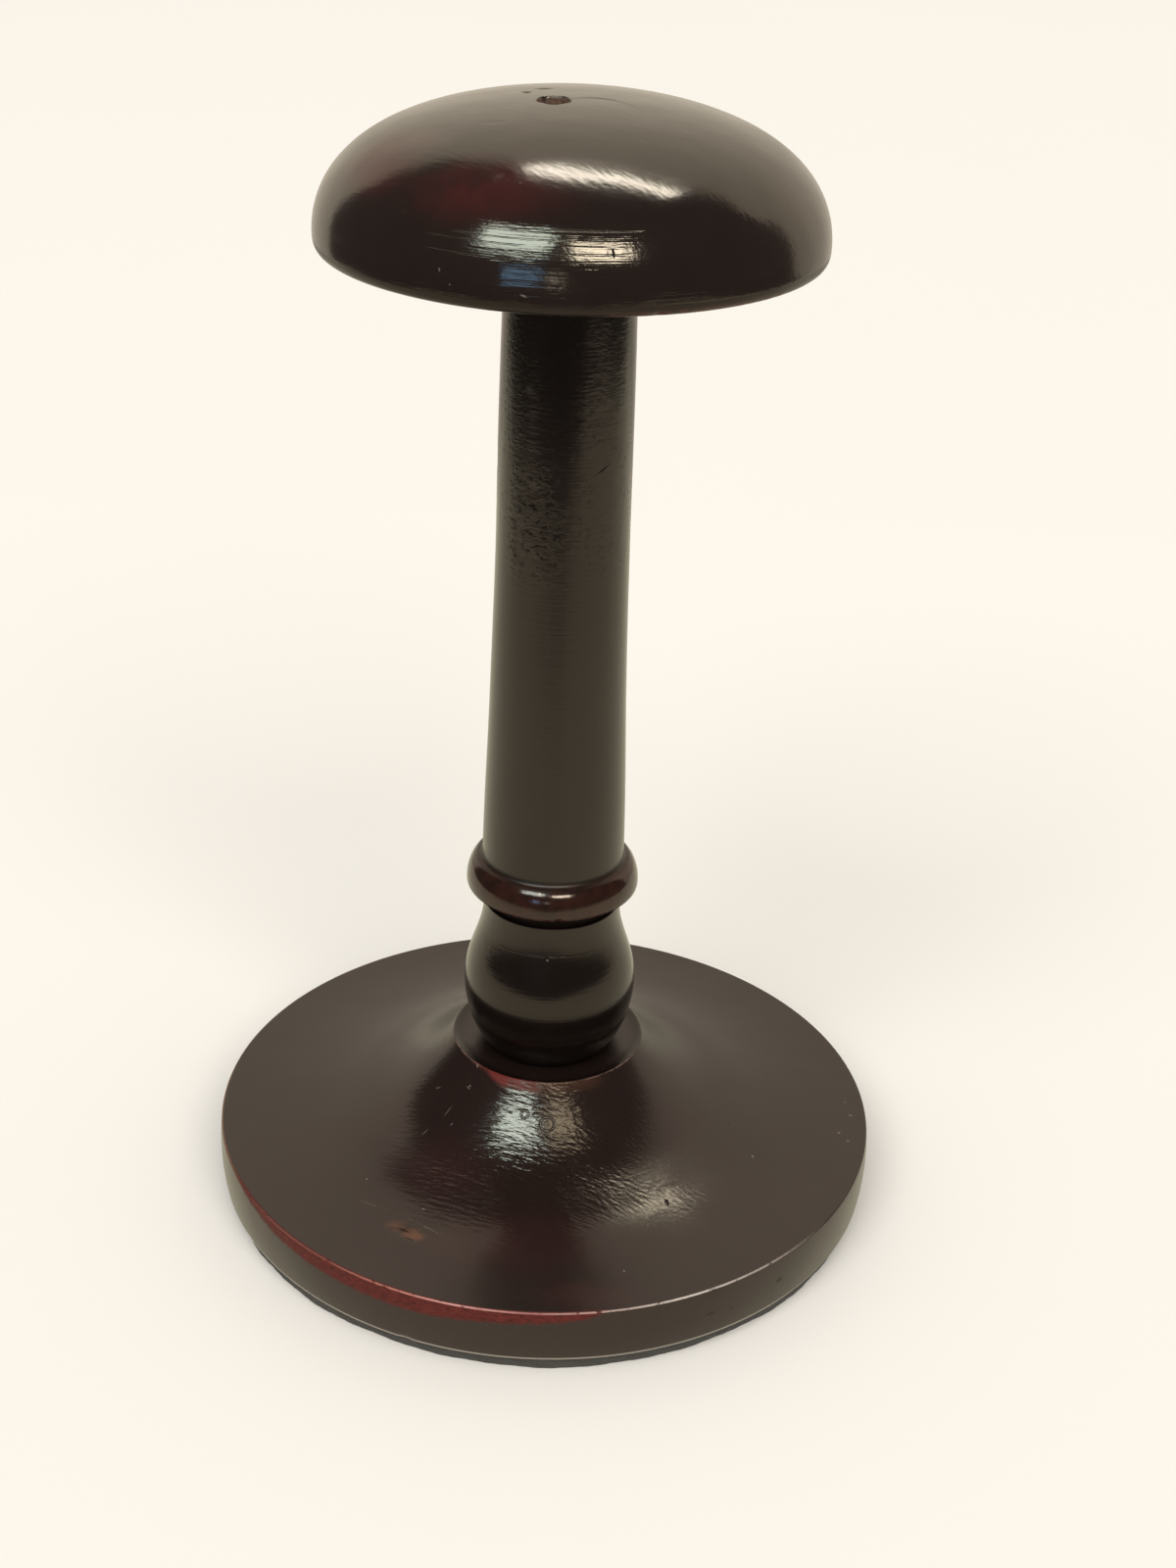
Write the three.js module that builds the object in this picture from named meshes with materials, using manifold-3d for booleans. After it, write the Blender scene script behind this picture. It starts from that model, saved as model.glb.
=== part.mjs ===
import * as THREE from 'three';
import Module from 'manifold-3d';
import { mergeVertices, toCreasedNormals } from 'three/addons/utils/BufferGeometryUtils.js';

// A turned hat stand in dark wood: a domed cap on a tapered column, socketed into a round base
// with a sweeping boss, on a felt pad. Sizes are in millimetres and Z points up. The origin is the
// middle of the pad's underside, and Z is the axis that every piece is turned about.

// Facets round the discs and round the column
const discFacets = 64;
const columnFacets = 44;

// Steps along each curve of a piece's outline
const padSteps = 3;
const baseSteps = 8;
const columnSteps = 5;
const capSteps = 10;

// Bends between facets up to this angle are shaded as one smooth surface
const sharpestSmoothBend = THREE.MathUtils.degToRad(30);

// Glue line left between pieces that seat on or in each other
const glueLine = 0.2;

// Felt pad, glued under the base
const padThickness = 3.4;
const padInset = 1.5;
const padEdgeRound = 0.7;

// Base, a disc and its boss turned from one board. The side swells a little between two arrises,
// and the lower arris lies a little further in than the upper one.
const baseRadius = 82.5;
const rimHeight = 13.9;
const rimUndercut = 0.4;
const rimBelly = 0.5;

// Boss in the middle of the base, dished on top to take the foot of the column
const bossRadius = 23.6;
const bossRise = 22.4;
const dishDepth = 1.3;
const dishFloorRadius = 20;

// The hollow sweep from the rim to the boss: how steep it is at each end, and how far each
// end's direction carries into the curve
const sweepRimAngle = THREE.MathUtils.degToRad(1.2);
const sweepRimReach = 37;
const sweepBossAngle = THREE.MathUtils.degToRad(54);
const sweepBossReach = 16;

// Column, one spindle turning. Heights are above its foot, which stands on the floor of the dish.
const footRadius = 15.5;
const footFlare = THREE.MathUtils.degToRad(43);
const bulbRadius = 21.2;
const bulbHeight = 17;
const shoulderRadius = 16.6;
const shoulderHeight = 40.2;
const neckRadius = 15.5;
const neckLength = 4.2;
const ringLipRadius = 19.1;
const ringLipDrop = 2.7;
const ringRadius = 20.8;
const ringRise = 5.2;
const shaftFootRadius = 17.2;
const shaftTopRadius = 14.2;
const columnHeight = 200;

// Fullness of the bulb's curves, as shares of the height that each one climbs
const footPull = 0.27;
const underBulbPull = 0.36;
const overBulbPull = 0.41;
const overShoulderPull = 0.43;

// Round tenons at the column's ends. The lower one goes right through the base and is wedged
// from below; the upper one stops inside the cap.
const footTenonRadius = 10.5;
const capTenonRadius = 8.5;
const capTenonLength = 16;
const tenonChamfer = 0.8;
const socketSpare = 1;

// Wedge in the lower tenon, driven across the grain of the base
const wedgeLength = 22;
const wedgeThickness = 3.4;
const wedgeTip = 1.2;

// Cap, a solid dome. Its side rolls in a little to a flat underside.
const capRadius = 55.2;
const capRollHeight = 3;
const capRollInset = 1.7;
const domeHeight = 28.6;

// Fullness of the dome's outline, as shares of its height at the side and its radius at the top
const domeSidePull = 0.61;
const domeTopPull = 0.64;

// Pit worn round the mark of the lathe's centre, left of and in front of the top of the cap
const pitRadius = 3.6;
const pitDepth = 2.8;
const pitLeft = 4.5;
const pitForward = 5.5;
const pitFacets = 20;

// Places that more than one piece needs
const baseBottom = padThickness + glueLine;
const baseFootRadius = baseRadius - rimUndercut;
const dishFloor = rimHeight + bossRise - dishDepth;
const columnFoot = baseBottom + dishFloor + glueLine;
const capBottom = columnFoot + columnHeight + glueLine;
const footTenonLength = dishFloor + glueLine;

const wasm = await Module();
wasm.setup();

// Revolves an outline, drawn as radius and height, about the Z axis.
function turn(outline, steps, facets) {
  return new THREE.LatheGeometry(outline.getPoints(steps), facets).rotateX(Math.PI / 2);
}

// Makes a solid that can be cut or joined.
function toSolid(geometry) {
  const bare = geometry.clone().deleteAttribute('normal').deleteAttribute('uv');
  const merged = mergeVertices(bare);
  return new wasm.Manifold(new wasm.Mesh({
    numProp: 3,
    vertProperties: merged.getAttribute('position').array,
    triVerts: new Uint32Array(merged.index.array),
  }));
}

// Turns a cut solid back into geometry, smooth on its curves and sharp at its arrises.
function fromSolid(solid) {
  const cut = solid.getMesh();
  const geometry = new THREE.BufferGeometry();
  geometry.setAttribute('position', new THREE.BufferAttribute(cut.vertProperties, 3));
  geometry.setIndex(new THREE.BufferAttribute(cut.triVerts, 1));
  return toCreasedNormals(geometry, sharpestSmoothBend);
}

function makePad() {
  const radius = baseFootRadius - padInset;
  const outline = new THREE.Path()
    .moveTo(0, 0)
    .lineTo(radius, 0)
    .lineTo(radius, padThickness - padEdgeRound)
    .quadraticCurveTo(radius, padThickness, radius - padEdgeRound, padThickness)
    .lineTo(0, padThickness);
  return turn(outline, padSteps, discFacets);
}

function makeBase() {
  const bore = footTenonRadius + glueLine;
  const bossTop = rimHeight + bossRise;
  const outline = new THREE.Path()
    .moveTo(bore, 0)
    .lineTo(baseFootRadius, 0)
    .quadraticCurveTo(baseRadius - rimUndercut / 2 + 2 * rimBelly, rimHeight / 2, baseRadius, rimHeight)
    .bezierCurveTo(
      baseRadius - sweepRimReach * Math.cos(sweepRimAngle),
      rimHeight + sweepRimReach * Math.sin(sweepRimAngle),
      bossRadius + sweepBossReach * Math.cos(sweepBossAngle),
      bossTop - sweepBossReach * Math.sin(sweepBossAngle),
      bossRadius,
      bossTop,
    )
    .quadraticCurveTo((bossRadius + dishFloorRadius) / 2, dishFloor, dishFloorRadius, dishFloor)
    .lineTo(bore, dishFloor)
    .lineTo(bore, 0);
  return turn(outline, baseSteps, discFacets);
}

// A wedge's outline seen from its side, tip up, with its thick end at height 0 and every face
// moved out by the clearance. A slot runs on below the thick end, so that it cuts right through.
function wedgeOutline(clearance) {
  const thick = wedgeThickness / 2 + clearance;
  const thin = wedgeTip / 2 + clearance;
  return new THREE.Shape([
    new THREE.Vector2(-thick, -clearance),
    new THREE.Vector2(thick, -clearance),
    new THREE.Vector2(thin, wedgeLength + clearance),
    new THREE.Vector2(-thin, wedgeLength + clearance),
  ]);
}

// Extrudes the outline from end to end across the tenon, standing upright about the axis.
function acrossTenon(outline) {
  const width = 2 * (footTenonRadius + glueLine);
  const options = { depth: width, bevelEnabled: false };
  return new THREE.ExtrudeGeometry(outline, options).rotateX(Math.PI / 2).translate(0, width / 2, 0);
}

function makeColumn() {
  const lip = shoulderHeight + neckLength;
  const ringMiddle = lip + ringLipDrop;
  const bulbRise = shoulderHeight - bulbHeight;
  const top = columnHeight + capTenonLength;
  const footHandle = bulbHeight * footPull;
  const outline = new THREE.Path()
    .moveTo(0, -footTenonLength)
    .lineTo(footTenonRadius, -footTenonLength)
    .lineTo(footTenonRadius, 0)
    .lineTo(footRadius, 0)
    .bezierCurveTo(
      footRadius + footHandle * Math.sin(footFlare),
      footHandle * Math.cos(footFlare),
      bulbRadius,
      bulbHeight * (1 - underBulbPull),
      bulbRadius,
      bulbHeight,
    )
    .bezierCurveTo(
      bulbRadius,
      bulbHeight + bulbRise * overBulbPull,
      shoulderRadius,
      shoulderHeight - bulbRise * overShoulderPull,
      shoulderRadius,
      shoulderHeight,
    )
    .lineTo(neckRadius, shoulderHeight)
    .lineTo(neckRadius, lip)
    .absellipse(
      ringLipRadius, ringMiddle, ringRadius - ringLipRadius, ringLipDrop, -Math.PI / 2, 0,
    )
    .absellipse(
      shaftFootRadius, ringMiddle, ringRadius - shaftFootRadius, ringRise, 0, Math.PI / 2,
    )
    .lineTo(shaftTopRadius, columnHeight)
    .lineTo(capTenonRadius, columnHeight)
    .lineTo(capTenonRadius, top - tenonChamfer)
    .lineTo(capTenonRadius - tenonChamfer, top)
    .lineTo(0, top);
  const spindle = toSolid(turn(outline, columnSteps, columnFacets));
  const slot = acrossTenon(wedgeOutline(glueLine)).translate(0, 0, -footTenonLength);
  return fromSolid(spindle.subtract(toSolid(slot)));
}

function makeWedge() {
  const round = new THREE.Path()
    .moveTo(0, 0)
    .lineTo(footTenonRadius, 0)
    .lineTo(footTenonRadius, wedgeLength)
    .lineTo(0, wedgeLength);
  const blank = toSolid(acrossTenon(wedgeOutline(0)));
  return fromSolid(blank.intersect(toSolid(turn(round, columnSteps, columnFacets))));
}

function makeCap() {
  const socket = capTenonLength + socketSpare;
  const bore = capTenonRadius + glueLine;
  const top = capRollHeight + domeHeight;
  const outline = new THREE.Path()
    .moveTo(0, socket)
    .lineTo(bore, socket)
    .lineTo(bore, 0)
    .lineTo(capRadius - capRollInset, 0)
    .quadraticCurveTo(capRadius, 0, capRadius, capRollHeight)
    .bezierCurveTo(
      capRadius,
      capRollHeight + domeHeight * domeSidePull,
      capRadius * domeTopPull,
      top,
      0,
      top,
    );
  const pit = new THREE.SphereGeometry(1, pitFacets, pitFacets / 2)
    .scale(pitRadius, pitDepth, pitRadius)
    .rotateX(Math.PI / 2)
    .translate(-pitLeft, -pitForward, top);
  return fromSolid(toSolid(turn(outline, capSteps, discFacets)).subtract(toSolid(pit)));
}

// Ebonised hardwood with a red undertone, plain hardwood inside, and dark grey felt
const lacquer = { color: 0x2b1f1b, roughness: 0.32, metalness: 0 };
const shaftLacquer = { color: 0x2a211c, roughness: 0.45, metalness: 0 };
const plainWood = { color: 0xa9855c, roughness: 0.7, metalness: 0 };
const felt = { color: 0x40413d, roughness: 0.95, metalness: 0 };

function piece(name, geometry, finish, height) {
  const mesh = new THREE.Mesh(geometry, new THREE.MeshStandardMaterial(finish));
  mesh.name = name;
  mesh.position.z = height;
  return mesh;
}

const stand = new THREE.Group();
stand.add(
  piece('base_pad', makePad(), felt, 0),
  piece('base', makeBase(), lacquer, baseBottom),
  piece('base_wedge', makeWedge(), plainWood, baseBottom + glueLine),
  piece('column', makeColumn(), shaftLacquer, columnFoot),
  piece('cap', makeCap(), lacquer, capBottom),
);

export default stand;
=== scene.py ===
import math

import bmesh
import bpy
import numpy as np
from mathutils import Matrix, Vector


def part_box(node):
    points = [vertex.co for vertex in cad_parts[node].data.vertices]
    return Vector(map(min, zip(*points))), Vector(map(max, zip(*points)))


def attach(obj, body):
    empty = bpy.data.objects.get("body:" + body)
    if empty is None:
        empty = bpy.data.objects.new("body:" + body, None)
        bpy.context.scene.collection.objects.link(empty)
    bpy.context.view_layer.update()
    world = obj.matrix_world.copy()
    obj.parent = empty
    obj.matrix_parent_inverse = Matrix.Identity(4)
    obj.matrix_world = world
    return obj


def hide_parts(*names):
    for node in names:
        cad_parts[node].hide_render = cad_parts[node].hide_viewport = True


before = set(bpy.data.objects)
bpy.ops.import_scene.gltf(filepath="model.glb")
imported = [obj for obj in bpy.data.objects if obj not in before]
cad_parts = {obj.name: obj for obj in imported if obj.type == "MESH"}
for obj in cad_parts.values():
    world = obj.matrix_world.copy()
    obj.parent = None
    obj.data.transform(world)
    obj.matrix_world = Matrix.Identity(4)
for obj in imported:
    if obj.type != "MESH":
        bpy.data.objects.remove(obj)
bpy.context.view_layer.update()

# A turned hat stand in dark lacquered wood. Sizes are in millimetres until a mesh is made, and in
# the part's own frame. Directions round the stand are angles in degrees: 0 faces the camera, and
# positive angles go round to the right.

MM = 0.001


def heights(node):
    """Lowest and highest level of a CAD node, in millimetres."""
    low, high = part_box(node)
    return low.z / MM, high.z / MM


def add_object(name, data):
    """A new object in the scene."""
    made = bpy.data.objects.new(name, data)
    bpy.context.scene.collection.objects.link(made)
    return made


# Outlines of the turned pieces, as points of (radius, height)

def straights(gaps, *corners):
    """Straight runs from corner to corner, as (points, gap)."""
    return [([a, b], gap) for a, b, gap in zip(corners, corners[1:], gaps)]


def curve(*control, steps=60):
    """Points along a quadratic or cubic curve."""
    points = [np.array(p, float) for p in control]
    out = []
    for t in np.linspace(0, 1, steps):
        level = points
        while len(level) > 1:
            level = [a * (1 - t) + b * t for a, b in zip(level, level[1:])]
        out.append(level[0])
    return out


def arc(centre, radii, first, last, steps=40):
    angles = np.radians(np.linspace(first, last, steps))
    return np.c_[centre[0] + radii[0] * np.cos(angles), centre[1] + radii[1] * np.sin(angles)]


def lengths_along(points):
    """How far along the line each of its points lies."""
    return np.r_[0, np.cumsum(np.linalg.norm(np.diff(points, axis=0), axis=1))]


def resampled(points, along, at):
    """The points of the line at some lengths along it."""
    return np.c_[np.interp(at, along, points[:, 0]), np.interp(at, along, points[:, 1])]


def spaced(points, gap):
    """The same line with its points about gap apart."""
    along = lengths_along(points)
    count = max(2, int(round(along[-1] / gap)) + 1)
    return resampled(points, along, np.linspace(0, along[-1], count))


def trimmed(points, start, end):
    """The line with a length cut off at each end."""
    points = np.array(points, float)
    along = lengths_along(points)
    keep = (along > start + 1e-6) & (along < along[-1] - end - 1e-6)
    return resampled(points, along, np.r_[start, along[keep], along[-1] - end])


def section(runs, arrises, closed=False):
    """Joins the runs (points, gap) into one outline. Each arris is how far back from the end of its
    run the corner's worn rounding starts, and 0 at an open end."""
    out = [
        spaced(trimmed(points, arrises[i - 1], arrises[i]), gap)
        for i, (points, gap) in enumerate(runs)
    ]
    joined = []
    for i, run in enumerate(out):
        joined.extend(run)
        if arrises[i] > 0:
            corner = np.array(runs[i][0][-1], float)
            joined.extend(curve(run[-1], corner, out[(i + 1) % len(out)][0], steps=9)[1:-1])
    clean = [joined[0]]
    for p in joined[1:]:
        if np.linalg.norm(p - clean[-1]) > 1e-4:
            clean.append(p)
    if closed and np.linalg.norm(clean[0] - clean[-1]) < 1e-4:
        clean.pop()
    return np.array(clean)


def revolve(name, outline, around, closed=False, wear=None):
    """Turns an outline of (radius, height) into a mesh. Wear moves the points afterwards."""
    angles = np.linspace(0, 2 * math.pi, around, endpoint=False)
    rings, points = [], []
    for radius, height in outline:
        if radius < 1e-6:
            rings.append([len(points)])
            points.append((0, 0, height))
        else:
            rings.append(list(range(len(points), len(points) + around)))
            points.extend((radius * math.sin(a), -radius * math.cos(a), height) for a in angles)
    points = np.array(points, float)
    if wear:
        points = wear(points)
    pairs = list(zip(rings, rings[1:])) + ([(rings[-1], rings[0])] if closed else [])
    faces = []
    for low, high in pairs:
        for j in range(around):
            k = (j + 1) % around
            corners = [low[j % len(low)], low[k % len(low)], high[k % len(high)], high[j % len(high)]]
            faces.append(tuple(dict.fromkeys(corners)))  # a triangle where a ring is one point
    mesh = bpy.data.meshes.new(name)
    mesh.from_pydata((points * MM).tolist(), [], faces)
    fix = bmesh.new()
    fix.from_mesh(mesh)
    bmesh.ops.recalc_face_normals(fix, faces=fix.faces)
    fix.to_mesh(mesh)
    fix.free()
    mesh.polygons.foreach_set("use_smooth", [True] * len(mesh.polygons))
    return add_object(name, mesh)


# Wear that is cut into the meshes

def polar(points):
    """Radius and angle of each point."""
    return np.hypot(points[:, 0], points[:, 1]), np.arctan2(points[:, 0], -points[:, 1])


def falloff(distance, radius):
    """1 in the middle, easing to 0 at the radius."""
    t = np.clip(1 - distance / radius, 0, 1)
    return t * t * (3 - 2 * t)


def dent(points, centre, radii, depth, direction, turn=0):
    """Pushes the points near the centre along a direction, over an ellipsoid that is turned about
    the upright axis."""
    c, s = math.cos(math.radians(turn)), math.sin(math.radians(turn))
    offset = points - np.array(centre, float)
    local = np.c_[
        offset[:, 0] * c + offset[:, 1] * s, -offset[:, 0] * s + offset[:, 1] * c, offset[:, 2]
    ]
    share = falloff(np.linalg.norm(local / np.array(radii, float), axis=1), 1)
    way = np.array(direction, float)
    return points + share[:, None] * depth * way / np.linalg.norm(way)


def dents(points, rows):
    """Dents the points once for each row of what dent takes."""
    for row in rows:
        points = dent(points, *row)
    return points


# Base
PAD_TOP = heights("base_pad")[1]
BASE_LOW, BASE_HIGH = heights("base")
BASE_RADIUS, BASE_FOOT_RADIUS, RIM_BULGE_RADIUS, RIM_HEIGHT = 82.5, 82.1, 83.3, 13.9
BOSS_RADIUS, DISH_RADIUS, DISH_DEPTH = 23.6, 20, 1.3
FOOT_TENON_RADIUS, FOOT_TENON_LENGTH, GLUE = 10.5, 35.2, 0.2

# The sweep's slope at each end, and how far that direction carries into the curve
SWEEP_RIM_ANGLE, SWEEP_RIM_REACH = math.radians(1.2), 37
SWEEP_BOSS_ANGLE, SWEEP_BOSS_REACH = math.radians(54), 16

# A low swell that runs round the sweep
SWELL_RADIUS, SWELL_WIDTH, SWELL_RISE = 47, 6, 0.3

# Each dent's centre, radii, depth, direction, and turn about the upright axis
BASE_DENTS = (
    ((-31.5, -57, 18.6), (5.2, 2.6, 2), 0.16, (0, 0, -1), -18),
    ((-29.6, -76.6, 3.9), (2.2, 1.2, 1), 0.3, (0.3, 1, 0.6)),
    ((-56.5, -60.2, 16.8), (2.6, 1.4, 1.1), 0.25, (0.7, 0.7, -0.4), 43),
    ((41.5, -71.3, 17.3), (1.6, 1, 0.8), 0.18, (-0.5, 0.8, -0.3), 30),
)


def make_base():
    rim = BASE_LOW + RIM_HEIGHT
    top = BASE_HIGH
    dish = top - DISH_DEPTH
    bore = FOOT_TENON_RADIUS + GLUE
    runs = [
        *straights([4], (bore, BASE_LOW), (BASE_FOOT_RADIUS, BASE_LOW)),
        (curve(
            (BASE_FOOT_RADIUS, BASE_LOW), (RIM_BULGE_RADIUS, BASE_LOW + RIM_HEIGHT / 2),
            (BASE_RADIUS, rim),
        ), 0.9),
        (curve(
            (BASE_RADIUS, rim),
            (BASE_RADIUS - SWEEP_RIM_REACH * math.cos(SWEEP_RIM_ANGLE),
             rim + SWEEP_RIM_REACH * math.sin(SWEEP_RIM_ANGLE)),
            (BOSS_RADIUS + SWEEP_BOSS_REACH * math.cos(SWEEP_BOSS_ANGLE),
             top - SWEEP_BOSS_REACH * math.sin(SWEEP_BOSS_ANGLE)),
            (BOSS_RADIUS, top),
            steps=160,
        ), 0.6),
        (curve(
            (BOSS_RADIUS, top), ((BOSS_RADIUS + DISH_RADIUS) / 2, dish), (DISH_RADIUS, dish),
            steps=20,
        ), 0.5),
        *straights([2.5, 6], (DISH_RADIUS, dish), (bore, dish), (bore, BASE_LOW)),
    ]

    def wear(points):
        radius = polar(points)[0]
        swell = SWELL_RISE * np.exp(-((radius - SWELL_RADIUS) / SWELL_WIDTH) ** 2)
        points[:, 2] += (points[:, 2] > rim) * swell
        return dents(points, BASE_DENTS)

    outline = section(runs, [0.5, 0.45, 0.5, 0, 0.3, 0.3], closed=True)
    return revolve("base_turned", outline, 384, closed=True, wear=wear)


# Column, with heights above its foot. The pulls are the fullness of the curves.
FOOT = heights("column")[0] + FOOT_TENON_LENGTH
COLUMN_HEIGHT = 200
FOOT_RADIUS, FOOT_FLARE, FOOT_PULL = 15.5, math.radians(43), 0.27
BULB_RADIUS, BULB_HEIGHT, UNDER_BULB_PULL, OVER_BULB_PULL = 21.2, 17, 0.36, 0.41
SHOULDER_RADIUS, SHOULDER_HEIGHT, SHOULDER_PULL = 16.6, 40.2, 0.43
NECK_RADIUS, LIP, LIP_RADIUS, LIP_RISE = 15.5, 44.4, 20.7, 0.35
RING_TOP, RING_WIDEST, RING_RADIUS, RING_PULL = LIP + 7.9, LIP + 1.3, 20.9, 0.8
SHAFT_FOOT_RADIUS, SHAFT_TOP_RADIUS, SHAFT_LEAST_RADIUS = 17.2, 14.2, 14
CAP_TENON_RADIUS, CAP_TENON_LENGTH, TENON_CHAMFER = 8.5, 16, 0.8
WEDGE_LENGTH, WEDGE_THICKNESS, WEDGE_TIP = 22, 3.4, 1.2

# How far the shaft's sides lie outside a straight taper, as (height, millimetres)
SHAFT_WAIST = (
    (102, 0), (107, -0.02), (112, -0.08), (121, -0.2), (127, -0.28), (133, -0.33),
    (142, -0.35), (152, -0.35), (162, -0.34), (171, -0.29), (176, -0.25), (181, -0.19),
    (190, -0.04), (196, 0.05), (203, 0.13), (210, 0.19), (217, 0.22), (238, 0.24),
    (239.1, 0),
)

# The part of the shaft that its turning marks run over: its middle, and how far they reach
RIPPLE_MIDDLE, RIPPLE_REACH = 118, 92

COLUMN_DENTS = (
    ((-15.2, -0.5, 191.5), (1.2, 1.6, 2.6), 0.6, (1, 0, 0)),
    ((2, -20.6, 83.7), (1.1, 1, 0.9), 0.3, (0, 1, 1)),
)


def make_column():
    rise = SHOULDER_HEIGHT - BULB_HEIGHT
    handle = BULB_HEIGHT * FOOT_PULL
    low, top = -FOOT_TENON_LENGTH, COLUMN_HEIGHT + CAP_TENON_LENGTH
    runs = [
        *straights(
            [5, 5, 2.5],
            (0, low), (FOOT_TENON_RADIUS, low), (FOOT_TENON_RADIUS, 0), (FOOT_RADIUS, 0),
        ),
        (curve(
            (FOOT_RADIUS, 0),
            (FOOT_RADIUS + handle * math.sin(FOOT_FLARE), handle * math.cos(FOOT_FLARE)),
            (BULB_RADIUS, BULB_HEIGHT * (1 - UNDER_BULB_PULL)),
            (BULB_RADIUS, BULB_HEIGHT),
        ) + curve(
            (BULB_RADIUS, BULB_HEIGHT),
            (BULB_RADIUS, BULB_HEIGHT + rise * OVER_BULB_PULL),
            (SHOULDER_RADIUS, SHOULDER_HEIGHT - rise * SHOULDER_PULL),
            (SHOULDER_RADIUS, SHOULDER_HEIGHT),
        )[1:], 0.55),
        *straights(
            [0.4, 0.7, 0.9],
            (SHOULDER_RADIUS, SHOULDER_HEIGHT), (NECK_RADIUS, SHOULDER_HEIGHT), (NECK_RADIUS, LIP),
            (LIP_RADIUS, LIP + LIP_RISE),
        ),
        (np.vstack([
            curve(
                (LIP_RADIUS, LIP + LIP_RISE), (RING_RADIUS, LIP + RING_PULL),
                (RING_RADIUS, RING_WIDEST),
            ),
            arc(
                (SHAFT_FOOT_RADIUS, RING_WIDEST),
                (RING_RADIUS - SHAFT_FOOT_RADIUS, RING_TOP - RING_WIDEST), 0, 90,
            )[1:],
        ]), 0.3),
        *straights(
            [1, 2, 4, 0.8, 4],
            (SHAFT_FOOT_RADIUS, RING_TOP), (SHAFT_TOP_RADIUS, COLUMN_HEIGHT),
            (CAP_TENON_RADIUS, COLUMN_HEIGHT), (CAP_TENON_RADIUS, top - TENON_CHAMFER),
            (CAP_TENON_RADIUS - TENON_CHAMFER, top), (0, top),
        ),
    ]
    outline = section(runs, [0, 0, 0.5, 0.25, 0.3, 0.3, 0.3, 1.2, 0, 0, 0.2, 0.2, 0])
    outline[:, 1] += FOOT

    def wear(points):
        radius, angle = polar(points)
        height = points[:, 2]
        turned = falloff(np.abs(height - FOOT - RIPPLE_MIDDLE), RIPPLE_REACH)
        ripple = 0.035 * np.sin(height / 9 + 1.3 * np.sin(angle))
        ripple += 0.02 * np.sin(2 * angle + height / 23)
        points[:, :2] *= (1 + turned * ripple / np.maximum(radius, 1))[:, None]
        waist = np.interp(height, *zip(*SHAFT_WAIST)) * (radius > SHAFT_LEAST_RADIUS)
        points[:, :2] *= (1 + waist / np.maximum(radius, 1))[:, None]
        return dents(points, COLUMN_DENTS)

    piece = revolve("column_turned", outline, 256, wear=wear)
    cut_wedge_slot(piece)
    return piece


def cut_wedge_slot(piece):
    """Cuts the tapered slot for the wedge up into the lower tenon."""
    low = FOOT - FOOT_TENON_LENGTH
    thick, thin = WEDGE_THICKNESS / 2 + GLUE, WEDGE_TIP / 2 + GLUE
    levels = ((low - 1, thick), (low + WEDGE_LENGTH + GLUE, thin))
    reach = FOOT_TENON_RADIUS + 1
    points = [
        (side * half * MM, end * reach * MM, height * MM)
        for height, half in levels
        for side, end in ((-1, -1), (1, -1), (1, 1), (-1, 1))
    ]
    faces = [(3, 2, 1, 0), (4, 5, 6, 7)]
    faces += [(i, (i + 1) % 4, (i + 1) % 4 + 4, i + 4) for i in range(4)]
    mesh = bpy.data.meshes.new("slot")
    mesh.from_pydata(points, [], faces)
    cutter = add_object("slot", mesh)
    cut = piece.modifiers.new("slot", "BOOLEAN")
    cut.operation, cut.object, cut.solver = "DIFFERENCE", cutter, "EXACT"
    bpy.context.view_layer.update()
    shaped = piece.evaluated_get(bpy.context.evaluated_depsgraph_get())
    result = bpy.data.meshes.new_from_object(shaped)
    piece.modifiers.clear()
    piece.data = result
    bpy.data.objects.remove(cutter)


# Cap. The pulls are the fullness of the dome at its side and at its top.
CAP_LOW = heights("cap")[0]
CAP_RADIUS, CAP_ROLL, CAP_INSET, DOME = 55.2, 3, 1.7, 28.6
DOME_SIDE_PULL, DOME_TOP_PULL = 0.61, 0.64
SOCKET_SPARE = 1

# The dome's points lie closer together inside this radius, for the pit and the crease
FINE_RADIUS = 14

# The pit round the lathe centre's mark: its middle, radius, depth and the slope of its wall
PIT_X, PIT_Y, PIT_RADIUS, PIT_DEPTH, PIT_SLOPE = -4.5, -5.5, 3.75, 2.3, 0.8

CAP_DENTS = (
    ((-10.4, 2.6, 270.2), (1.6, 1.2, 3), 0.28, (0, 0, -1), -25),
    ((-6.9, 6.9, 270.2), (2.8, 1.1, 3), 0.22, (0, 0, -1), 10),
    ((-15.8, -19.2, 268.5), (4.2, 0.7, 3), 0.1, (0, 0, -1), -18),
    ((8.8, -52.4, 251.5), (0.8, 1.2, 1.5), 0.35, (-0.1, 1, -0.4)),
    ((18, -51.8, 239.4), (2.2, 1.6, 1), 0.35, (-0.3, 1, 0.8), 19),
    ((-13.7, -39.9, 262.5), (2.8, 2, 2.4), 0.12, (0.2, 0.6, -1), 20),
)


def wear_pit(points, waist):
    """The crumbled pit, with a stub of wood left in its middle."""
    dx, dy = points[:, 0] - PIT_X, points[:, 1] - PIT_Y
    turn = np.arctan2(dy, dx)
    away = np.hypot(dx, dy) * (1 + 0.06 * np.sin(2 * turn + 1) + 0.04 * np.sin(5 * turn))
    wall = np.clip((PIT_RADIUS - away) / PIT_SLOPE, 0, 1)
    stub = 0.9 * falloff(np.hypot(dx + 0.2, dy + 0.6), 1.1)
    points[:, 2] -= (points[:, 2] > waist) * (PIT_DEPTH * wall * wall * (3 - 2 * wall) - stub)
    return points


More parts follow.
